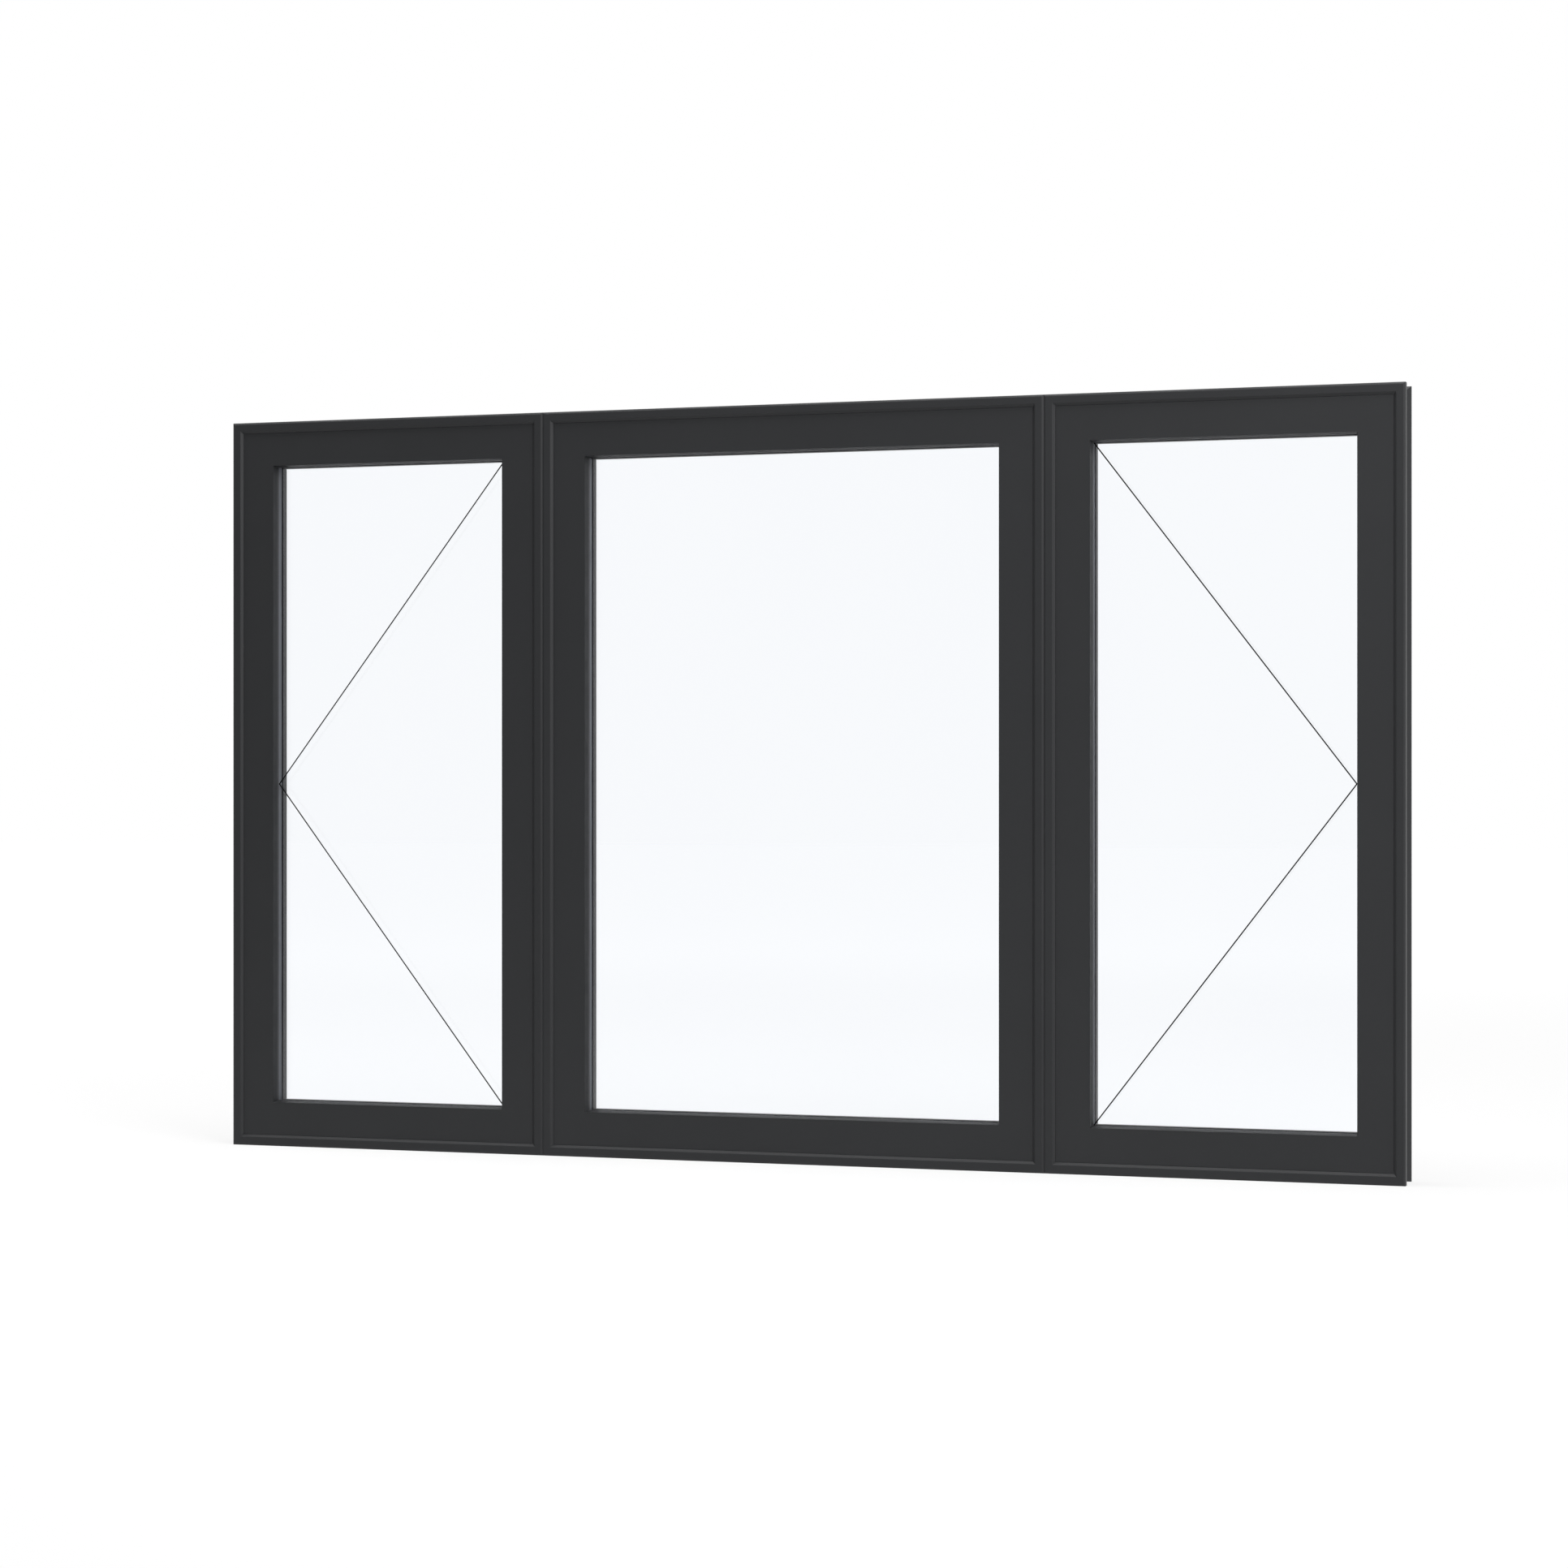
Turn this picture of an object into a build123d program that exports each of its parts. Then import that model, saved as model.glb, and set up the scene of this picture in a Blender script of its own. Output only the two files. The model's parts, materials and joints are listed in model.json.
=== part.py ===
from build123d import *
import os

# Triple casement window: two side-hung casements beside a fixed light, coupled in a row.
# Millimetres, +Z up, +X to the right as seen from outside. The exterior faces -Y.
# The origin is at the middle of the underside of the sill.
# Sections are drawn as (depth, inset). Depth runs inwards from the exterior face of the frame,
# and inset runs from the outline of a unit towards its glass.

# Overall sizes
side_width = 600
centre_width = 900
window_height = 1300

# Frame section: a lip outside, a stop inside and a fixing groove all round the outside
frame_depth = 75
lip_width = 19.2
edge_width = 3.2
edge_depth = 1.6
edge_round = 2
slope_width = 4.5
slope_round = 1
rebate_depth = 50
stop_reach = 32
stop_round = 2
groove_front = 15
groove_width = 43
groove_depth = 8.5
flange_slope = 12

# Sash section: a glazing leg outside and a foot that passes the stop of the frame
sash_gap = 0.3
sash_recess = 4
sash_width = 60.8
sash_depth = 55
sash_edge_round = 0.3
bevel_width = 2.3
bevel_depth = 11
leg_thickness = 16
glass_cover = 16.3
stop_clearance = 3

# Seals and glazing
seal_thickness = 4
seal_width = 7
seal_inset = 23
pane_thickness = 4
cavity_width = 12
glass_clearance = 3
gasket_thickness = 2
gasket_width = 9
spacer_height = 12
bead_edge_round = 3
bead_fit = 0.2
bead_gap = 0.3

# Coupling bars
coupling_fit = 0.2
coupling_end_gap = 1.7

# Handles
base_width = 27
base_length = 78
base_thickness = 11
base_corner = 9
base_edge_bevel = 1.5
neck_diameter = 17
lever_standoff = 14
lever_reach = 114
lever_root_radius = 11
lever_tip_radius = 8
lever_thickness = 9
lever_edge_round = 2.5

# Places that follow from the sizes above
exterior_face = -(edge_depth + groove_front) / 2
half_centre = centre_width / 2
groove_back = groove_front + groove_width
sash_edge = lip_width + sash_gap
glass_line = sash_edge + sash_width
rebate_floor = glass_line - glass_cover
leg_back = sash_recess + leg_thickness
seal_front = rebate_depth - seal_thickness
sash_foot = stop_reach + stop_clearance
sash_back = sash_recess + sash_depth
glass_edge = rebate_floor + glass_clearance
glass_front = leg_back + gasket_thickness
cavity_front = glass_front + pane_thickness
cavity_back = cavity_front + cavity_width
glass_back = cavity_back + pane_thickness
bead_front = glass_back + gasket_thickness
gasket_edge = glass_line - gasket_width


def round_corner(section, depth, inset, radius):
    """Round the corner of a section that lies at a point."""
    corner = section.vertices().sort_by_distance((depth, inset))[0]
    return fillet(corner, radius)


def frame_section():
    """The section of a frame bar."""
    section = make_face(Polyline(
        (0, edge_width),
        (edge_depth, 0),
        (groove_front, 0),
        (groove_front, groove_depth),
        (groove_back, groove_depth),
        (groove_back + flange_slope, 0),
        (frame_depth, 0),
        (frame_depth, stop_reach),
        (rebate_depth, stop_reach),
        (rebate_depth, lip_width),
        (sash_recess, lip_width),
        (0, lip_width - slope_width),
        close=True,
    ))
    section = round_corner(section, 0, edge_width, edge_round)
    section = round_corner(section, 0, lip_width - slope_width, slope_round)
    section = round_corner(section, frame_depth, 0, stop_round)
    return round_corner(section, frame_depth, stop_reach, stop_round)


def sash_section():
    """The section of a sash bar."""
    section = make_face(Polyline(
        (sash_recess, sash_edge),
        (seal_front, sash_edge),
        (seal_front, sash_foot),
        (sash_back, sash_foot),
        (sash_back, rebate_floor),
        (leg_back, rebate_floor),
        (leg_back, glass_line),
        (sash_recess + bevel_depth, glass_line),
        (sash_recess, glass_line - bevel_width),
        close=True,
    ))
    section = round_corner(section, sash_recess, sash_edge, sash_edge_round)
    return round_corner(section, sash_back, sash_foot, sash_edge_round)


def bead_section():
    """The section of a glazing bead, which snaps into the rebate on the room side."""
    section = make_face(Polyline(
        (bead_front, rebate_floor + bead_fit),
        (sash_back, rebate_floor + bead_fit),
        (sash_back, glass_line),
        (bead_front, glass_line),
        close=True,
    ))
    return round_corner(section, sash_back, glass_line, bead_edge_round)


def bar(section, start, end):
    """A square-cut bar along X, with the outline of its unit on Z = 0."""
    return Pos(start, 0, 0) * extrude(Plane.YZ * section, end - start)


def mitred_bar(section, length):
    """A bar along X, with the outline of its unit on Z = 0 and both ends cut at 45 degrees."""
    near_mitre = Plane((0, 0, 0), z_dir=(1, 0, -1))
    far_mitre = Plane((length, 0, 0), z_dir=(-1, 0, -1))
    whole = bar(section, 0, length)
    half = split(whole, bisect_by=near_mitre, keep=Keep.TOP)
    return split(half, bisect_by=far_mitre, keep=Keep.TOP)


def on_sides(across, upright, left, width):
    """Copies of a bar along X on the bottom and top of a unit, and of another on its two sides."""
    bottom = Pos(left, exterior_face, 0)
    top = Pos(left + width, exterior_face, window_height) * Rot(0, 180, 0)
    left_side = Pos(left, exterior_face, window_height) * Rot(0, 90, 0)
    right_side = Pos(left + width, exterior_face, 0) * Rot(0, -90, 0)
    return [bottom * across, top * across, left_side * upright, right_side * upright]


def ring(left, width, outer_inset, inner_inset, front, back):
    """A flat ring that follows the outline of a unit."""
    outer = Box(width - 2 * outer_inset, back - front, window_height - 2 * outer_inset)
    inner = Box(width - 2 * inner_inset, back - front, window_height - 2 * inner_inset)
    middle = Pos(left + width / 2, exterior_face + (front + back) / 2, window_height / 2)
    return middle * (outer - inner)


def pane(left, width, front):
    """One pane of glass."""
    middle = Pos(left + width / 2, exterior_face + front + pane_thickness / 2, window_height / 2)
    return middle * Box(width - 2 * glass_edge, pane_thickness, window_height - 2 * glass_edge)


def glazing_beads(left, width):
    """Beads along the bottom and top, and shorter ones between them."""
    section = bead_section()
    across_end = rebate_floor + bead_fit
    upright_end = glass_line + bead_gap
    across = bar(section, across_end, width - across_end)
    upright = bar(section, upright_end, window_height - upright_end)
    return Compound(on_sides(across, upright, left, width))


def unit_pieces(name, left, width):
    """Every piece of one unit, by node name."""
    frame = frame_section()
    sash = sash_section()
    frame_bars = on_sides(mitred_bar(frame, width), mitred_bar(frame, window_height), left, width)
    sash_bars = on_sides(mitred_bar(sash, width), mitred_bar(sash, window_height), left, width)
    frame_names = ["frame_sill", "frame_head", "frame_jamb_left", "frame_jamb_right"]
    sash_names = ["sash_bottom_rail", "sash_top_rail", "sash_stile_left", "sash_stile_right"]
    pieces = dict(zip(frame_names + sash_names, frame_bars + sash_bars))
    pieces["weather_seal"] = ring(
        left, width, seal_inset, seal_inset + seal_width, seal_front, rebate_depth)
    pieces["glazing_gaskets"] = Compound([
        ring(left, width, gasket_edge, glass_line, leg_back, glass_front),
        ring(left, width, gasket_edge, glass_line, glass_back, bead_front),
    ])
    pieces["glass"] = Compound([
        pane(left, width, glass_front),
        pane(left, width, cavity_back),
    ])
    pieces["spacer"] = ring(
        left, width, glass_edge, glass_edge + spacer_height, cavity_front, cavity_back)
    pieces["glazing_beads"] = glazing_beads(left, width)
    return {f"{name}_{piece}": shape for piece, shape in pieces.items()}


def coupling(joint_x):
    """The bar that fills the grooves of two neighbouring units and tapers between their flanges."""
    wide = groove_depth - coupling_fit
    narrow = groove_depth / 2 - coupling_fit
    front = groove_front + coupling_fit
    nose = groove_back + flange_slope / 2
    section = make_face(Polyline(
        (-wide, front),
        (wide, front),
        (wide, groove_back),
        (narrow, nose),
        (-narrow, nose),
        (-wide, groove_back),
        close=True,
    ))
    foot = groove_depth + coupling_end_gap
    return Pos(joint_x, exterior_face, foot) * extrude(section, window_height - 2 * foot)


def handle_plane(stile_x):
    """The room side of a lock stile, with X across the stile, Y down it and Z into the room."""
    middle = (stile_x, exterior_face + sash_back, window_height / 2)
    return Plane(middle, x_dir=(1, 0, 0), z_dir=(0, 1, 0))


def handle_base():
    """The plate that covers the lock case."""
    plate = extrude(RectangleRounded(base_width, base_length, base_corner), base_thickness)
    rim = plate.faces().sort_by(Axis.Z)[-1].edges()
    return chamfer(rim, base_edge_bevel)


def handle_lever():
    """A tapered lever on a round neck."""
    root = Circle(lever_root_radius)
    tip = Pos(0, lever_reach - lever_tip_radius) * Circle(lever_tip_radius)
    outline = make_hull((root + tip).edges())
    underside = base_thickness + lever_standoff
    blade = Pos(0, 0, underside) * extrude(outline, lever_thickness)
    rim = blade.faces().sort_by(Axis.Z)[-1].edges()
    blade = fillet(rim, lever_edge_round)
    neck = Pos(0, 0, base_thickness) * extrude(Circle(neck_diameter / 2), lever_standoff)
    return blade + neck


def window_pieces():
    """Every piece of the window, by node name."""
    pieces = {}
    pieces.update(unit_pieces("left", -half_centre - side_width, side_width))
    pieces.update(unit_pieces("centre", -half_centre, centre_width))
    pieces.update(unit_pieces("right", half_centre, side_width))
    handle_inset = (sash_foot + rebate_floor) / 2
    for name, side in (("left", -1), ("right", 1)):
        pieces[f"{name}_coupling"] = coupling(side * half_centre)
        place = handle_plane(side * (half_centre + handle_inset))
        pieces[f"{name}_handle_base"] = place * handle_base()
        pieces[f"{name}_handle_lever"] = place * handle_lever()
    return pieces


os.makedirs("parts", exist_ok=True)
for node, shape in window_pieces().items():
    export_step(shape, f"parts/{node}.step")
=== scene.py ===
import json
import math

import bmesh
import bpy
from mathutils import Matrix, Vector


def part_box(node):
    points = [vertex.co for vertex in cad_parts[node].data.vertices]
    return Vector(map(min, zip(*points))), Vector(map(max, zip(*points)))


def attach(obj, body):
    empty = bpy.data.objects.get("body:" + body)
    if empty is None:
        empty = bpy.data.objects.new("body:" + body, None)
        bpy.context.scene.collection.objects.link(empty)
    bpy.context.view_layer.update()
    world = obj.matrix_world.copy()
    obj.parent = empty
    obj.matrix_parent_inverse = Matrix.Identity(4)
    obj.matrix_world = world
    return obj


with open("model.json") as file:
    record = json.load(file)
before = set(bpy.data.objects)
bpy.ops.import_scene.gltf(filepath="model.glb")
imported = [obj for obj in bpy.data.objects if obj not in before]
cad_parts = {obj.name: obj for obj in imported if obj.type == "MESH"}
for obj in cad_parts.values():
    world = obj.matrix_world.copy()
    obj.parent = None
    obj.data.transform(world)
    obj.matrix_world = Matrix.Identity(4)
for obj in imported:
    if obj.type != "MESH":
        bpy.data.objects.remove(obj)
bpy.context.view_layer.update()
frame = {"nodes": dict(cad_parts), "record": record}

# Camera, as the photograph was taken: level, at mid height, from the right of the window
CAMERA_PLACE = (1.816, -5.614, 0.650)
CAMERA_HEADING = (-0.309, 0.951, 0.0)
CAMERA_FIELD = math.radians(25.62)

# Opening symbols drawn on the outer panes of the two casements, inside the cover of their gaskets
SYMBOL_WIDTH = 0.0021
SYMBOL_THICKNESS = 0.0002
SYMBOL_GAP = 0.00002
GASKET_COVER = 0.009

# The part of a noise value that is spread over a range
NOISE_LOW = 0.3
NOISE_HIGH = 0.7

# Room: its light on matt surfaces, and how it looks in reflections. It turns from grey to white as a
# direction turns from the front to the back, and in front it is greyer on the left than on the right.
ROOM_LIGHT = 0.4
ROOM_BACK = (-0.8, 0.6)
ROOM_RIGHT = (-0.6, 0.5)
ROOM_LEFT_GREY = 0.2
ROOM_RIGHT_GREY = 0.55

# Floor: a share that takes light and shadow, and a glow that makes up the rest of its white. The glow
# grows with the distance from the pool of light, and reflections lose it far in front of the window.
FLOOR_SIZE = 60.0
FLOOR_PAPER = 0.55
FLOOR_SHADE = 0.2
FLOOR_CENTRE = (0.5, -1.0, 0.0)
FLOOR_POOL = (0.0, 9.0)
FLOOR_GLOW_NEAR = 0.74
FLOOR_GLOW_FAR = 0.925
FLOOR_NEAR = (1.0, 6.0)

# Lamps: name, place, the point that it faces, width, height and power
LAMPS = [
    ("key", (2.8, -2.6, 3.6), (0.7, 0.0, 1.1), 2.4, 2.0, 130.0),
    ("right", (6.0, -2.4, 0.9), (0.0, 0.0, 0.65), 3.0, 2.4, 42.0),
    ("top", (-1.2, -0.3, 4.2), (-1.2, -0.2, 0.0), 6.0, 2.0, 170.0),
]


def srgb(red, green, blue):
    """A colour given as 0 to 255 display values, as the linear colour of a shader socket."""
    linear = []
    for value in (red, green, blue):
        share = value / 255
        linear.append(share / 12.92 if share <= 0.04045 else ((share + 0.055) / 1.055) ** 2.4)
    return (*linear, 1.0)


# Node helpers
def new_material(name):
    """An empty node material with its output and a Principled shader joined to it."""
    material = bpy.data.materials.new(name)
    material.use_nodes = True
    nodes = material.node_tree.nodes
    nodes.clear()
    output = nodes.new("ShaderNodeOutputMaterial")
    shader = nodes.new("ShaderNodeBsdfPrincipled")
    material.node_tree.links.new(shader.outputs["BSDF"], output.inputs["Surface"])
    return material, shader


def noise(material, scale, detail, stretch=(1.0, 1.0, 1.0)):
    """Noise fixed to the object, with scale in features to the metre."""
    nodes, links = material.node_tree.nodes, material.node_tree.links
    place = nodes.new("ShaderNodeTexCoord")
    mapping = nodes.new("ShaderNodeMapping")
    texture = nodes.new("ShaderNodeTexNoise")
    mapping.inputs["Scale"].default_value = stretch
    texture.inputs["Scale"].default_value = scale
    texture.inputs["Detail"].default_value = detail
    links.new(place.outputs["Object"], mapping.inputs["Vector"])
    links.new(mapping.outputs["Vector"], texture.inputs["Vector"])
    return texture.outputs["Fac"]


def spread(material, source, low, high):
    """A noise value spread from low to high."""
    node = material.node_tree.nodes.new("ShaderNodeMapRange")
    node.inputs["From Min"].default_value = NOISE_LOW
    node.inputs["From Max"].default_value = NOISE_HIGH
    node.inputs["To Min"].default_value = low
    node.inputs["To Max"].default_value = high
    material.node_tree.links.new(source, node.inputs["Value"])
    return node.outputs["Result"]


def two_tone(material, source, dark, light):
    """A colour that runs between two tones with a noise value."""
    node = material.node_tree.nodes.new("ShaderNodeMix")
    node.data_type = "RGBA"
    node.inputs[6].default_value = dark
    node.inputs[7].default_value = light
    material.node_tree.links.new(spread(material, source, 0.0, 1.0), node.inputs[0])
    return node.outputs[2]


def relief(material, source, depth, strength=1.0):
    """A bump of a noise value, with depth in metres."""
    node = material.node_tree.nodes.new("ShaderNodeBump")
    node.inputs["Distance"].default_value = depth
    node.inputs["Strength"].default_value = strength
    material.node_tree.links.new(source, node.inputs["Height"])
    return node.outputs["Normal"]


# Materials, one for each slot of the record
def powder_coat(name, dark, light):
    """Satin powder coat: an even dark colour over fine orange peel."""
    material, shader = new_material(name)
    links = material.node_tree.links
    grain = noise(material, 900.0, 2.0)
    peel = noise(material, 420.0, 1.0)
    cloud = noise(material, 6.0, 3.0)
    links.new(two_tone(material, cloud, dark, light), shader.inputs["Base Color"])
    links.new(spread(material, grain, 0.50, 0.58), shader.inputs["Roughness"])
    links.new(relief(material, peel, 0.00003), shader.inputs["Normal"])
    shader.inputs["Specular IOR Level"].default_value = 0.38
    return material


def clear_glass():
    """Toughened float glass with a faint blue body colour that shifts very slightly in long vertical
    streaks.
    """
    material, shader = new_material("clear_glass")
    links = material.node_tree.links
    wave = noise(material, 5.0, 0.0, stretch=(1.0, 1.0, 0.25))
    links.new(two_tone(material, wave, (0.976, 0.985, 0.998, 1.0), (0.978, 0.987, 0.999, 1.0)),
              shader.inputs["Base Color"])
    shader.inputs["Roughness"].default_value = 0.0
    shader.inputs["IOR"].default_value = 1.4
    shader.inputs["Transmission Weight"].default_value = 1.0
    return material


def gasket_rubber():
    """Dark grey extruded rubber with a dull, finely pitted skin."""
    material, shader = new_material("gasket_rubber")
    links = material.node_tree.links
    pits = noise(material, 1500.0, 2.0)
    links.new(two_tone(material, pits, srgb(66, 67, 70), srgb(75, 76, 79)), shader.inputs["Base Color"])
    links.new(spread(material, pits, 0.62, 0.75), shader.inputs["Roughness"])
    links.new(relief(material, pits, 0.00003), shader.inputs["Normal"])
    return material


def spacer_bar():
    """Grey warm-edge spacer with a matt, lightly ribbed skin."""
    material, shader = new_material("spacer_bar")
    links = material.node_tree.links
    ribs = noise(material, 700.0, 1.0, stretch=(1.0, 4.0, 1.0))
    links.new(two_tone(material, ribs, srgb(104, 107, 113), srgb(114, 117, 123)),
              shader.inputs["Base Color"])
    links.new(spread(material, ribs, 0.5, 0.6), shader.inputs["Roughness"])
    links.new(relief(material, ribs, 0.00004), shader.inputs["Normal"])
    return material


def coupling_bar():
    """Plain extruded aluminium with die lines along its length."""
    material, shader = new_material("coupling_bar")
    links = material.node_tree.links
    lines = noise(material, 900.0, 2.0, stretch=(1.0, 1.0, 0.01))
    links.new(two_tone(material, lines, srgb(150, 151, 153), srgb(166, 167, 169)),
              shader.inputs["Base Color"])
    links.new(spread(material, lines, 0.3, 0.42), shader.inputs["Roughness"])
    links.new(relief(material, lines, 0.00002), shader.inputs["Normal"])
    shader.inputs["Metallic"].default_value = 1.0
    return material


def symbol_ink():
    """Flat black ink."""
    material, shader = new_material("symbol_ink")
    links = material.node_tree.links
    specks = noise(material, 1200.0, 2.0)
    links.new(two_tone(material, specks, srgb(9, 9, 9), srgb(14, 14, 14)), shader.inputs["Base Color"])
    links.new(spread(material, specks, 0.8, 0.9), shader.inputs["Roughness"])
    shader.inputs["Specular IOR Level"].default_value = 0.1
    return material


MATERIALS = {
    "frame_coat": powder_coat("frame_coat", srgb(36, 37, 39), srgb(38, 39, 41)),
    "handle_coat": powder_coat("handle_coat", srgb(34, 35, 37), srgb(36, 37, 39)),
    "clear_glass": clear_glass(),
    "gasket_rubber": gasket_rubber(),
    "spacer_bar": spacer_bar(),
    "coupling_bar": coupling_bar(),
}


def dress_nodes():
    """Every carried-over node gets the material of its slot."""
    for subpart in frame["record"]["subparts"]:
        node = frame["nodes"][subpart["node"]]
        node.data.materials.clear()
        node.data.materials.append(MATERIALS[subpart["material_slot"]])


def prism(name, outline, front, back):
    """A closed flat piece: an outline of X and Z points, from one depth to another."""
    mesh = bpy.data.meshes.new(name)
    shell = bmesh.new()
    near = [shell.verts.new((x, front, z)) for x, z in outline]
    far = [shell.verts.new((x, back, z)) for x, z in outline]
    shell.faces.new(near)
    shell.faces.new(far[::-1])
    for index in range(len(outline)):
        following = (index + 1) % len(outline)
        shell.faces.new((near[index], far[index], far[following], near[following]))
    bmesh.ops.recalc_face_normals(shell, faces=shell.faces)
    shell.to_mesh(mesh)
    shell.free()
    piece = bpy.data.objects.new(name, mesh)
    bpy.context.scene.collection.objects.link(piece)
    return piece


def opening_symbol(name, unit, hinge_side):
    """The V that points at the hinges of a casement, drawn on the outside of its glass."""
    gasket_low, gasket_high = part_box(f"{unit}_glazing_gaskets")
    glass_low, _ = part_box(f"{unit}_glass")
    left, right = gasket_low.x + GASKET_COVER, gasket_high.x - GASKET_COVER
    bottom, top = gasket_low.z + GASKET_COVER, gasket_high.z - GASKET_COVER
    apex_x, open_x = (left, right) if hinge_side == "left" else (right, left)
    middle = (bottom + top) / 2
    run, rise = open_x - apex_x, top - middle
    slant = math.hypot(run, rise) / abs(run)
    half_tall = SYMBOL_WIDTH * slant / 2
    tip = math.copysign(half_tall * abs(run) / rise, run)
    outline = [
        (apex_x, middle),
        (open_x - tip, top),
        (open_x, top),
        (open_x, top - half_tall),
        (apex_x + 2 * tip, middle),
        (open_x, bottom + half_tall),
        (open_x, bottom),
        (open_x - tip, bottom),
    ]
    back = glass_low.y - SYMBOL_GAP
    piece = prism(name, outline, back - SYMBOL_THICKNESS, back)
    piece.data.materials.append(symbol_ink())
    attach(piece, "root")
    return piece


# Stage
def either(tree, first, second):
    """The larger of two values."""
    node = tree.nodes.new("ShaderNodeMath")
    node.operation = "MAXIMUM"
    tree.links.new(first, node.inputs[0])
    tree.links.new(second, node.inputs[1])
    return node.outputs["Value"]


def ramp(tree, source, start, end, low, high):
    """A value that runs smoothly from low at start to high at end."""
    node = tree.nodes.new("ShaderNodeMapRange")
    node.interpolation_type = "SMOOTHSTEP"
    node.inputs["From Min"].default_value = start
    node.inputs["From Max"].default_value = end
    node.inputs["To Min"].default_value = low
    node.inputs["To Max"].default_value = high
    tree.links.new(source, node.inputs["Value"])
    return node.outputs["Result"]


def seen_rays(tree):
    """Two values: one for rays of a plain view or through glass, and one for those and reflections."""
    path = tree.nodes.new("ShaderNodeLightPath")
    straight = either(tree, path.outputs["Is Camera Ray"], path.outputs["Is Transmission Ray"])
    return straight, either(tree, straight, path.outputs["Is Glossy Ray"])


def room_brightness(tree, direction):
    """How bright the room looks in a direction: white behind the window and greyer in front of it."""
    axes = tree.nodes.new("ShaderNodeSeparateXYZ")
    tree.links.new(direction, axes.inputs["Vector"])
    behind = ramp(tree, axes.outputs["Y"], ROOM_BACK[0], ROOM_BACK[1], 0.0, 1.0)
    across = ramp(
        tree, axes.outputs["X"], ROOM_RIGHT[0], ROOM_RIGHT[1], ROOM_LEFT_GREY, ROOM_RIGHT_GREY)
    return either(tree, behind, across)


def studio_world():
    """A white backdrop, which reflections show too, with a greyer room in front of the window."""
    world = bpy.data.worlds.new("studio")
    bpy.context.scene.world = world
    world.use_nodes = True
    tree = world.node_tree
    tree.nodes.clear()
    output = tree.nodes.new("ShaderNodeOutputWorld")
    mix = tree.nodes.new("ShaderNodeMixShader")
    light = tree.nodes.new("ShaderNodeBackground")
    backdrop = tree.nodes.new("ShaderNodeBackground")
    place = tree.nodes.new("ShaderNodeTexCoord")
    around = room_brightness(tree, place.outputs["Generated"])
    straight, seen = seen_rays(tree)
    light.inputs["Color"].default_value = (1.0, 1.0, 1.0, 1.0)
    light.inputs["Strength"].default_value = ROOM_LIGHT
    backdrop.inputs["Color"].default_value = (1.0, 1.0, 1.0, 1.0)
    tree.links.new(either(tree, straight, around), backdrop.inputs["Strength"])
    tree.links.new(seen, mix.inputs["Fac"])
    tree.links.new(light.outputs["Background"], mix.inputs[1])
    tree.links.new(backdrop.outputs["Background"], mix.inputs[2])
    tree.links.new(mix.outputs["Shader"], output.inputs["Surface"])


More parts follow.
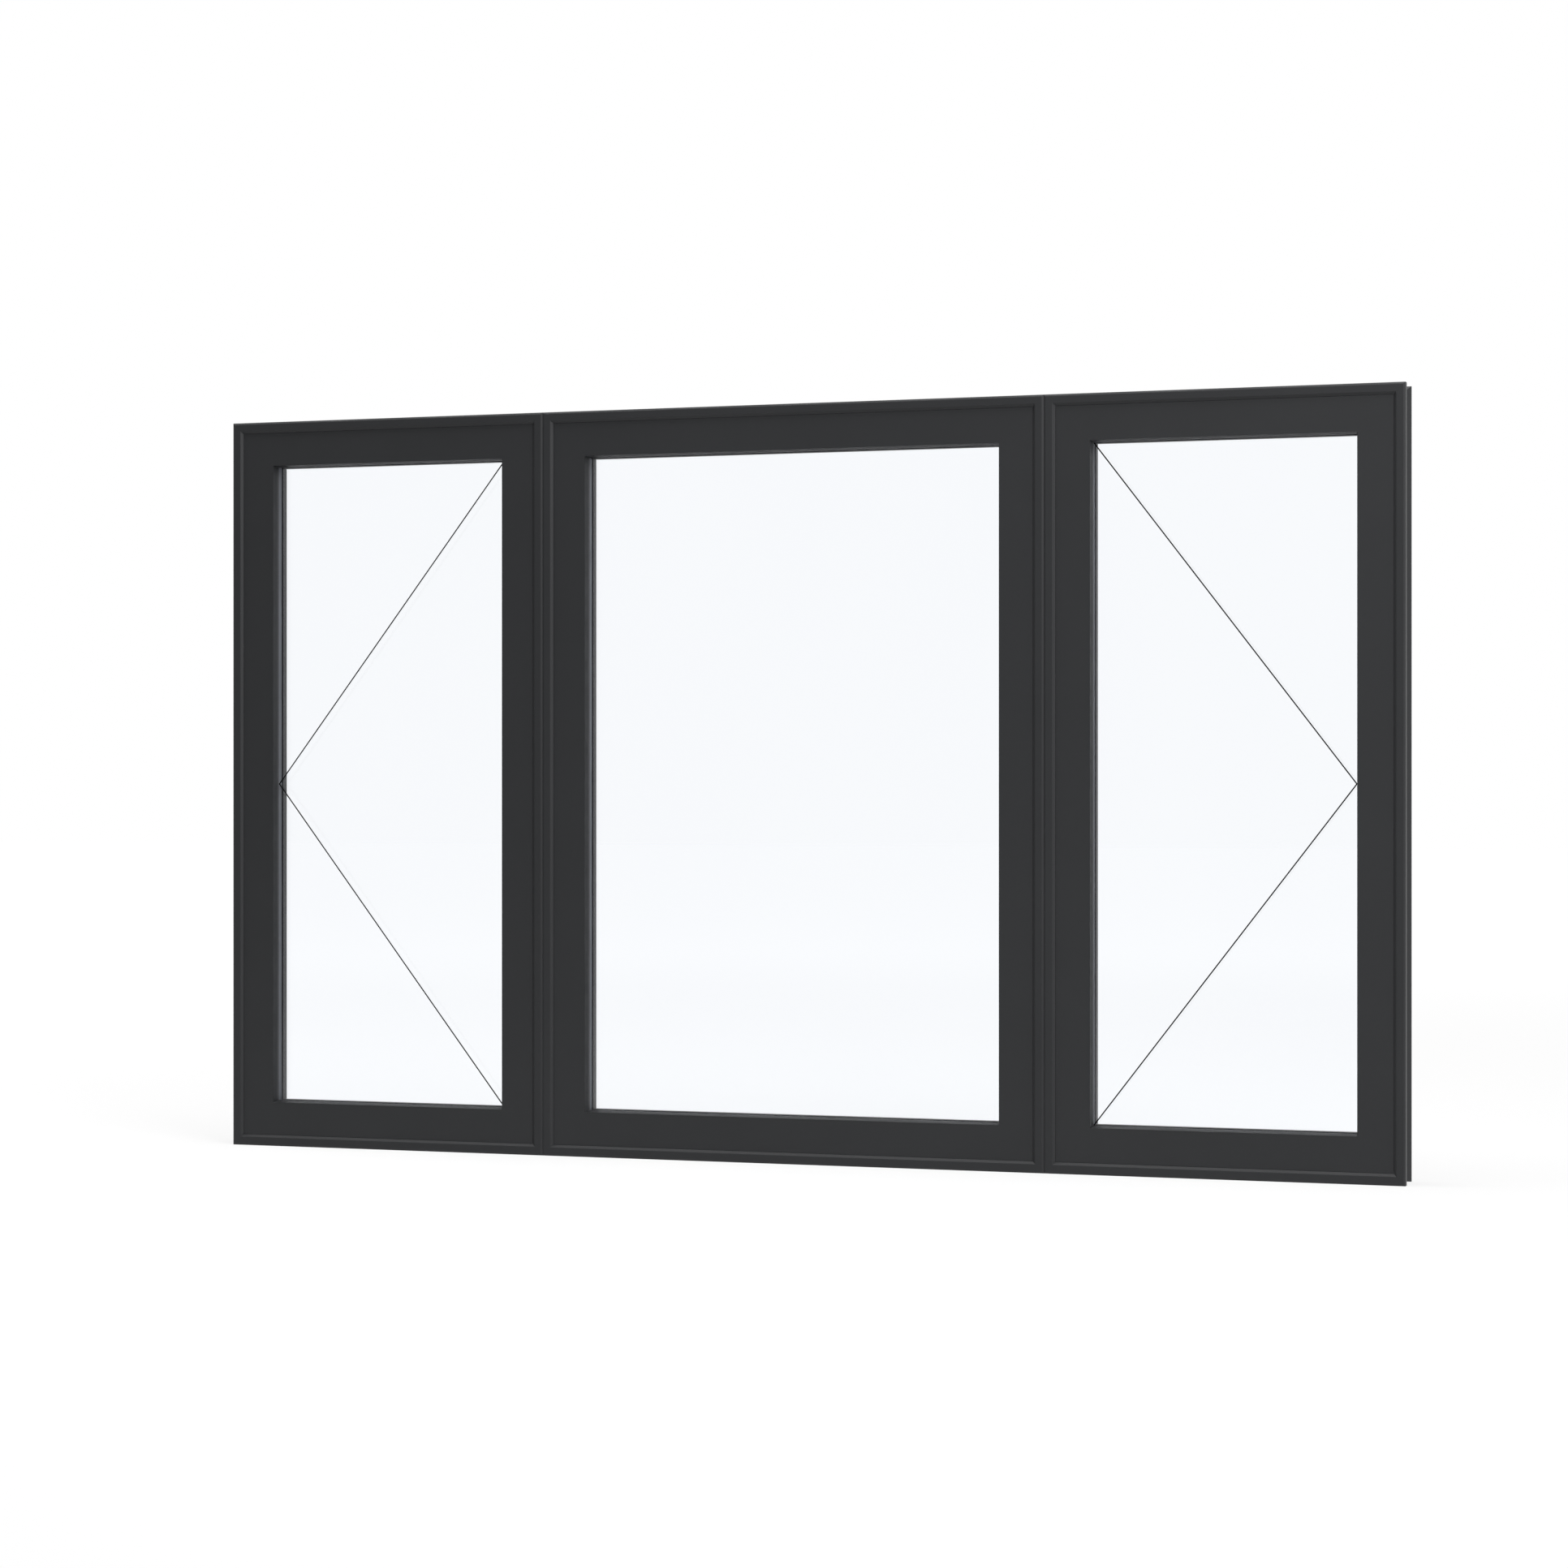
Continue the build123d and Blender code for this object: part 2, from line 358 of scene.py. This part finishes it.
def white_floor():
    """A plain white floor that keeps a soft shadow of the window."""
    bpy.ops.mesh.primitive_plane_add(size=FLOOR_SIZE, location=FLOOR_CENTRE)
    floor = bpy.context.object
    floor.name = "floor"
    material = bpy.data.materials.new("floor_white")
    material.use_nodes = True
    tree = material.node_tree
    tree.nodes.clear()
    output = tree.nodes.new("ShaderNodeOutputMaterial")
    mix = tree.nodes.new("ShaderNodeMixShader")
    paper = tree.nodes.new("ShaderNodeBsdfDiffuse")
    paper.inputs["Color"].default_value = (FLOOR_PAPER, FLOOR_PAPER, FLOOR_PAPER, 1.0)
    shade = tree.nodes.new("ShaderNodeBsdfDiffuse")
    shade.inputs["Color"].default_value = (FLOOR_SHADE, FLOOR_SHADE, FLOOR_SHADE, 1.0)
    glow = tree.nodes.new("ShaderNodeEmission")
    glow.inputs["Color"].default_value = (1.0, 1.0, 1.0, 1.0)
    place = tree.nodes.new("ShaderNodeTexCoord")
    away = tree.nodes.new("ShaderNodeVectorMath")
    away.operation = "LENGTH"
    heading = tree.nodes.new("ShaderNodeVectorMath")
    heading.operation = "NORMALIZE"
    tree.links.new(place.outputs["Object"], away.inputs[0])
    tree.links.new(place.outputs["Object"], heading.inputs[0])
    pool = ramp(
        tree, away.outputs["Value"], FLOOR_POOL[0], FLOOR_POOL[1], FLOOR_GLOW_NEAR, FLOOR_GLOW_FAR)
    near = ramp(tree, away.outputs["Value"], FLOOR_NEAR[0], FLOOR_NEAR[1], 1.0, 0.0)
    around = room_brightness(tree, heading.outputs["Vector"])
    straight, seen = seen_rays(tree)
    strength = tree.nodes.new("ShaderNodeMath")
    strength.operation = "MULTIPLY"
    tree.links.new(pool, strength.inputs[0])
    reflected = either(tree, near, around)
    tree.links.new(either(tree, straight, reflected), strength.inputs[1])
    tree.links.new(strength.outputs["Value"], glow.inputs["Strength"])
    white = tree.nodes.new("ShaderNodeAddShader")
    tree.links.new(shade.outputs["BSDF"], white.inputs[0])
    tree.links.new(glow.outputs["Emission"], white.inputs[1])
    tree.links.new(seen, mix.inputs["Fac"])
    tree.links.new(paper.outputs["BSDF"], mix.inputs[1])
    tree.links.new(white.outputs["Shader"], mix.inputs[2])
    tree.links.new(mix.outputs["Shader"], output.inputs["Surface"])
    floor.data.materials.append(material)


def softbox(name, place, target, width, height, power):
    """A rectangular lamp that faces a point."""
    lamp = bpy.data.lights.new(name, "AREA")
    lamp.shape = "RECTANGLE"
    lamp.size = width
    lamp.size_y = height
    lamp.energy = power
    holder = bpy.data.objects.new(name, lamp)
    holder.location = place
    holder.rotation_euler = (Vector(target) - Vector(place)).to_track_quat("-Z", "Y").to_euler()
    bpy.context.scene.collection.objects.link(holder)


def photo_camera():
    """The camera at the photograph's place, with its field of view."""
    lens = bpy.data.cameras.new("camera")
    lens.sensor_fit = "HORIZONTAL"
    lens.angle = CAMERA_FIELD
    camera = bpy.data.objects.new("camera", lens)
    camera.location = CAMERA_PLACE
    camera.rotation_euler = Vector(CAMERA_HEADING).to_track_quat("-Z", "Y").to_euler()
    bpy.context.scene.collection.objects.link(camera)
    bpy.context.scene.camera = camera


dress_nodes()
opening_symbol("left_opening_symbol", "left", "left")
opening_symbol("right_opening_symbol", "right", "right")
studio_world()
white_floor()
for lamp_values in LAMPS:
    softbox(*lamp_values)
photo_camera()
bpy.context.scene.view_settings.view_transform = "Standard"
